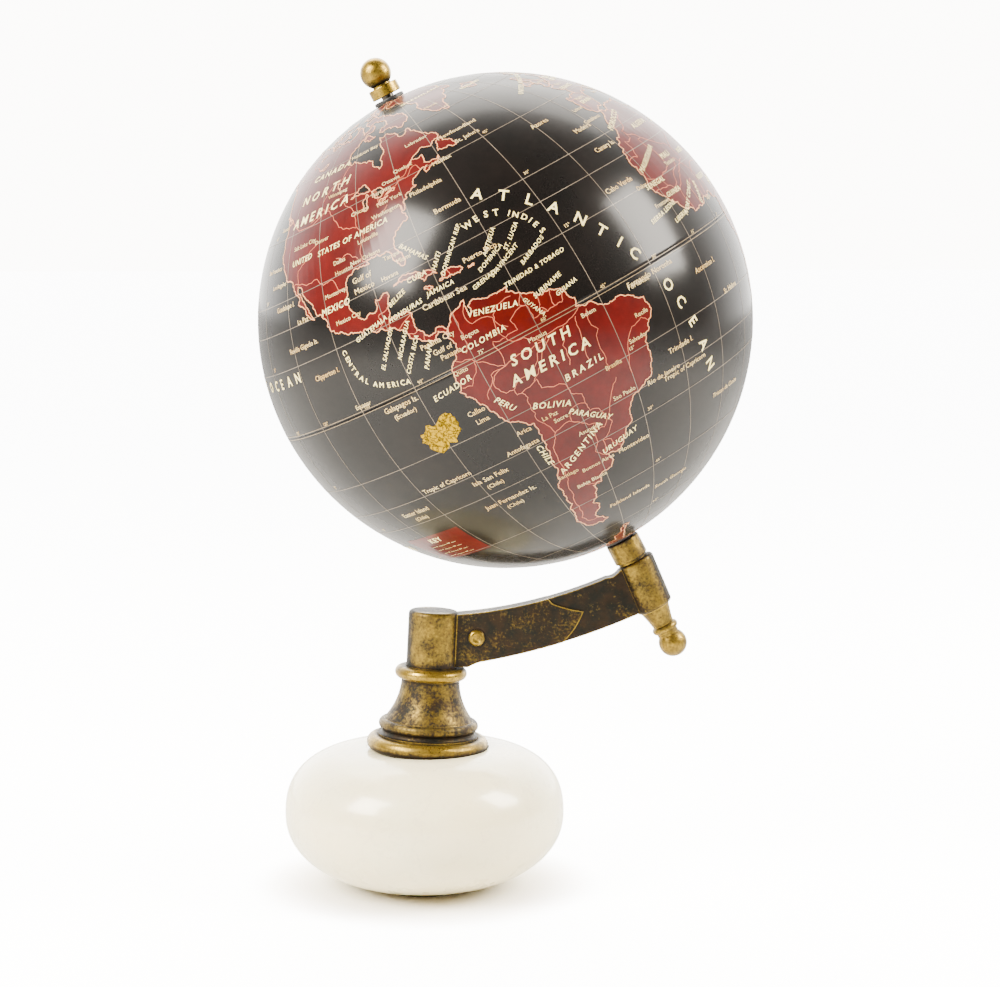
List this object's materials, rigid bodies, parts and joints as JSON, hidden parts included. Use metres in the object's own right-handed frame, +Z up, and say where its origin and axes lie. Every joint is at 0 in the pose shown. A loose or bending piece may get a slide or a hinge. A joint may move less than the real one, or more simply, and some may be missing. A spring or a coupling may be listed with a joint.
{
  "type": "desktop globe on stand",
  "caption": "Small world globe spinning on a tilted rod, held from below by a curved brass arm on a turned pedestal and a round stone base.",
  "frame": {"origin": "on the table, under the centre of the stone base", "axes": "+Z up, +X the way the arm points from the stem at rest, +Y away from the front of the globe"},
  "size_m": [0.127, 0.127, 0.2147],
  "materials": {
    "white_stone": "polished",
    "felt": "matt felt",
    "antique_brass": "cast, darkened in the hollows and rubbed bright on the rounds",
    "polished_brass": "turned and polished, slightly tarnished",
    "zinc_steel": "bright zinc",
    "printed_map": "printed map under gloss lacquer",
    "board": "plain grey board",
    "black_bush": "moulded"
  },
  "bodies": {
    "base": {"base_felt": "felt", "base_stone": "white_stone", "base_washer": "zinc_steel", "base_nut": "zinc_steel", "tie_rod": "zinc_steel", "foot_ring": "antique_brass", "pedestal_bell": "antique_brass", "neck_collar": "antique_brass"},
    "arm": {"arm_casting": "antique_brass", "arm_cheek_front": "antique_brass", "arm_cheek_back": "antique_brass", "arm_rivet": "polished_brass", "axis_rod": "zinc_steel", "lower_ferrule": "antique_brass", "lower_finial": "polished_brass", "upper_collar": "polished_brass", "upper_finial": "polished_brass"},
    "globe": {"north_hemisphere": "printed_map", "south_hemisphere": "printed_map", "joint_band": "board", "north_bush": "black_bush", "south_bush": "black_bush"}
  },
  "joints": [
    {"name": "arm_swivel", "type": "hinge", "parent": "base", "child": "arm", "pos_m": [0.0007, 0, 0.0354], "axis": [0.0506, 0, 0.9987], "continuous": true},
    {"name": "globe_spin", "type": "hinge", "parent": "arm", "child": "globe", "pos_m": [0.02117, 0, 0.14763], "axis": [-0.4633, 0, 0.8862], "continuous": true}
  ]
}
